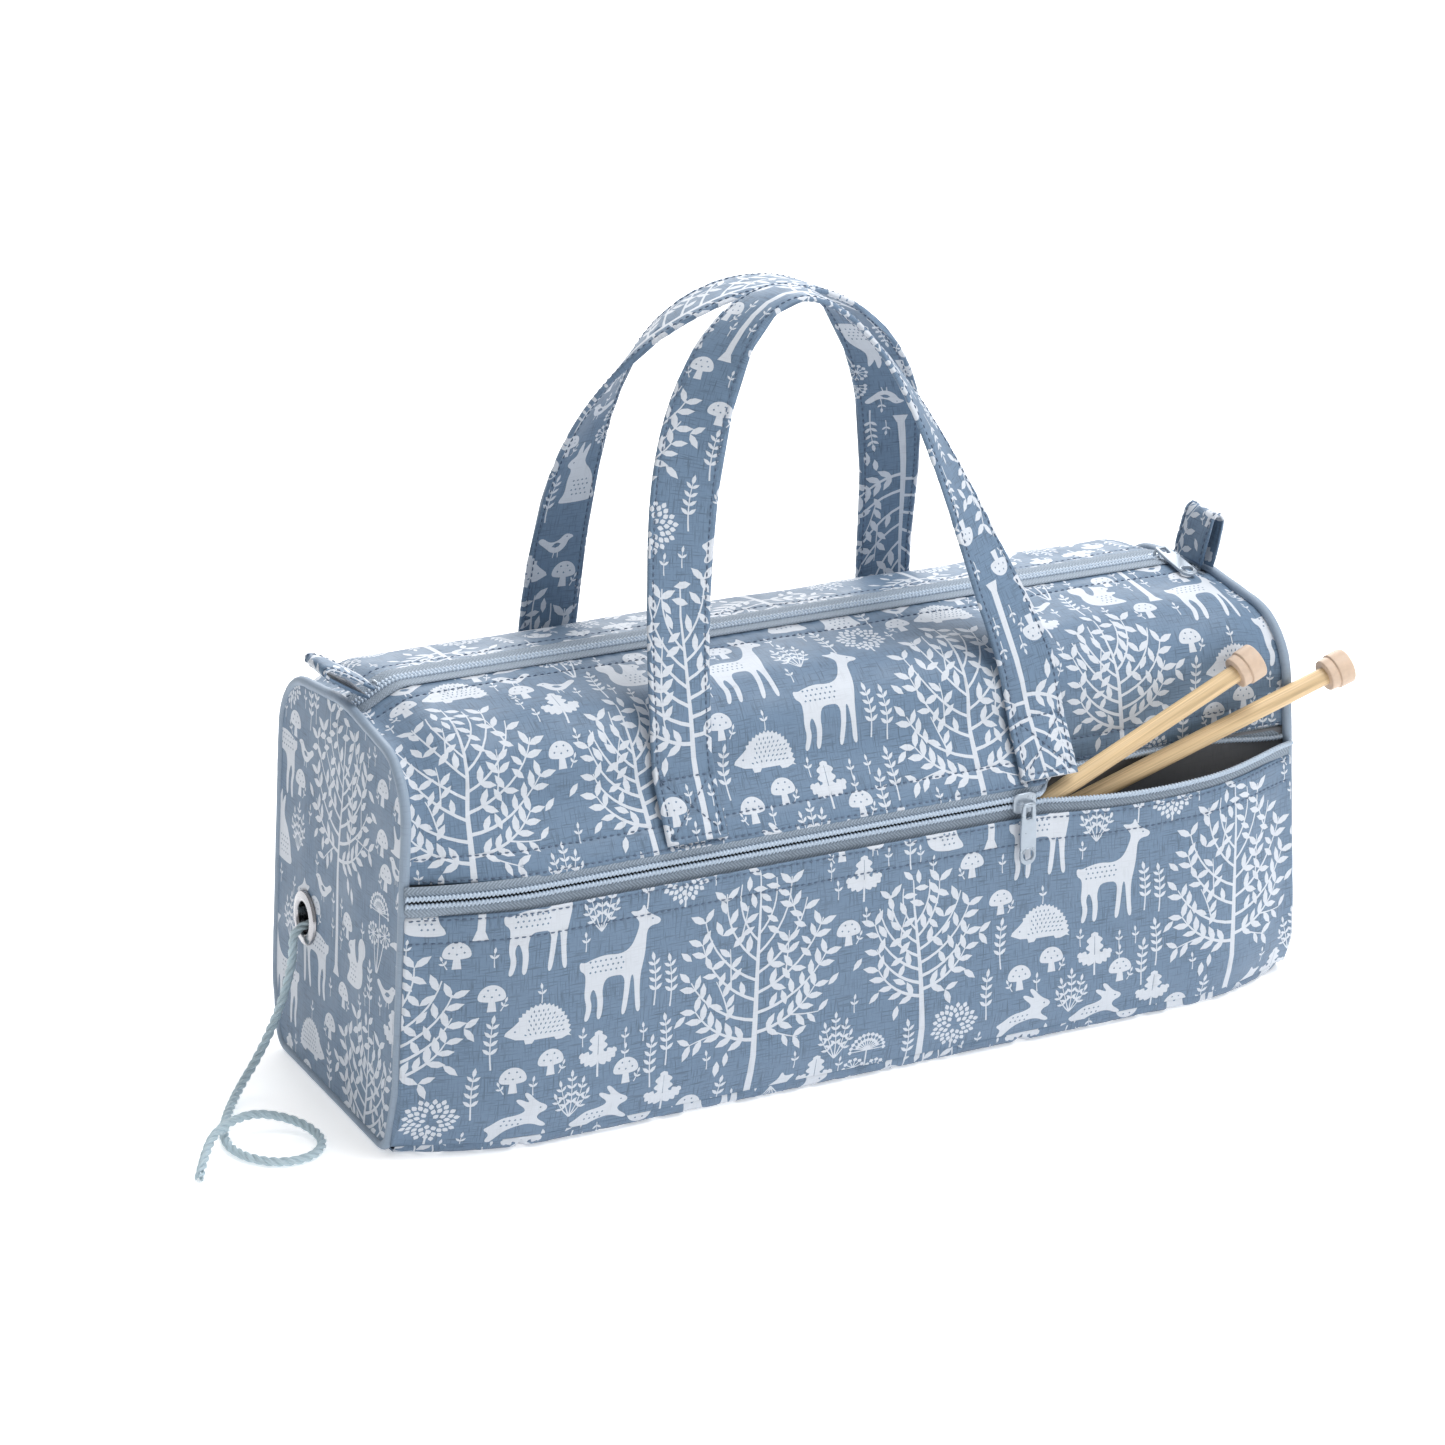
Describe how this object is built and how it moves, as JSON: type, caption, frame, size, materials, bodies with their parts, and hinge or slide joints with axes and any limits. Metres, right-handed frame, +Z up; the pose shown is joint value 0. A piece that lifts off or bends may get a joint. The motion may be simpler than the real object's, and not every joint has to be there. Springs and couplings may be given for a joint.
{
  "type": "knitting bag",
  "caption": "Long zipped knitting bag in printed cotton with two handles, an open front pocket holding two needles, and yarn running out of an eyelet in one end.",
  "frame": {"origin": "centre of the underside of the base, on the surface that the bag stands on", "axes": "+X along the bag to its right end, away from the eyelet; -Y towards the pocket side; +Z up"},
  "size_m": [0.5381, 0.1621, 0.3355],
  "materials": {
    "printed_cotton": "matt printed cotton, white woodland sprigs on denim blue",
    "lining_cotton": "matt dark grey lining",
    "piping_cotton": "matt light grey-blue bias binding",
    "zip_tape": "woven grey-blue tape",
    "zip_teeth": "nylon coil, satin grey-blue",
    "slider_metal": "light blue-grey enamel",
    "eyelet_metal": "polished nickel",
    "bamboo": "sanded bamboo with a thin wax",
    "cap_plastic": "matt beige moulded plastic",
    "yarn_cotton": "pale blue twisted yarn",
    "base_board": "dark stiffener board"
  },
  "bodies": {
    "bag": {"base_panel": "printed_cotton", "pocket_front": "printed_cotton", "upper_front": "printed_cotton", "back_panel": "printed_cotton", "end_panel_left": "printed_cotton", "end_panel_right": "printed_cotton", "strap_end_front_left": "printed_cotton", "strap_end_front_right": "printed_cotton", "strap_end_back_left": "printed_cotton", "strap_end_back_right": "printed_cotton", "tab_left": "printed_cotton", "tab_right": "printed_cotton", "pocket_back": "lining_cotton", "piping_left": "piping_cotton", "piping_right": "piping_cotton", "top_tape_front": "zip_tape", "top_tape_back": "zip_tape", "pocket_tape_lower": "zip_tape", "pocket_tape_upper": "zip_tape", "pocket_tape_open": "zip_tape", "top_coil_front": "zip_teeth", "top_coil_back": "zip_teeth", "pocket_coil_lower": "zip_teeth", "pocket_coil_upper": "zip_teeth", "top_stop_left": "slider_metal", "top_stop_right": "slider_metal", "eyelet": "eyelet_metal", "eyelet_washer": "eyelet_metal", "yarn_strand": "yarn_cotton", "base_board": "base_board"},
    "top_slider": {"top_slider": "slider_metal"},
    "top_pull": {"top_pull": "slider_metal"},
    "pocket_slider": {"pocket_slider": "slider_metal"},
    "pocket_pull": {"pocket_pull": "slider_metal"},
    "front_handle": {"handle_front": "printed_cotton"},
    "back_handle": {"handle_back": "printed_cotton"},
    "needle_one": {"needle_one_shaft": "bamboo", "needle_one_cap": "cap_plastic"},
    "needle_two": {"needle_two_shaft": "bamboo", "needle_two_cap": "cap_plastic"}
  },
  "joints": [
    {"name": "top_zip_slide", "type": "slide", "parent": "bag", "child": "top_slider", "axis": [-1, 0, 0], "range_m": [0, 0.37]},
    {"name": "top_pull_swing", "type": "hinge", "parent": "top_slider", "child": "top_pull", "pos_m": [0.186, 0, 0.18735], "axis": [-1, 0, 0], "range_deg": [0, 160]},
    {"name": "pocket_zip_slide", "type": "slide", "parent": "bag", "child": "pocket_slider", "axis": [-1, 0, 0], "range_m": [0, 0.22]},
    {"name": "pocket_pull_swing", "type": "hinge", "parent": "pocket_slider", "child": "pocket_pull", "pos_m": [0.067, -0.08945, 0.115], "axis": [-1, 0, 0], "range_deg": [0, 100]},
    {"name": "front_handle_fold", "type": "hinge", "parent": "bag", "child": "front_handle", "pos_m": [0, -0.0692, 0.152], "axis": [1, 0, 0], "range_deg": [0, 130]},
    {"name": "back_handle_fold", "type": "hinge", "parent": "bag", "child": "back_handle", "pos_m": [0, 0.0692, 0.152], "axis": [-1, 0, 0], "range_deg": [0, 130]},
    {"name": "needle_one_slide", "type": "slide", "parent": "bag", "child": "needle_one", "axis": [0.9136, 0.0103, 0.4065], "range_m": [0, 0.25]},
    {"name": "needle_two_slide", "type": "slide", "parent": "bag", "child": "needle_two", "axis": [0.9534, -0.0186, 0.3013], "range_m": [0, 0.25]}
  ]
}
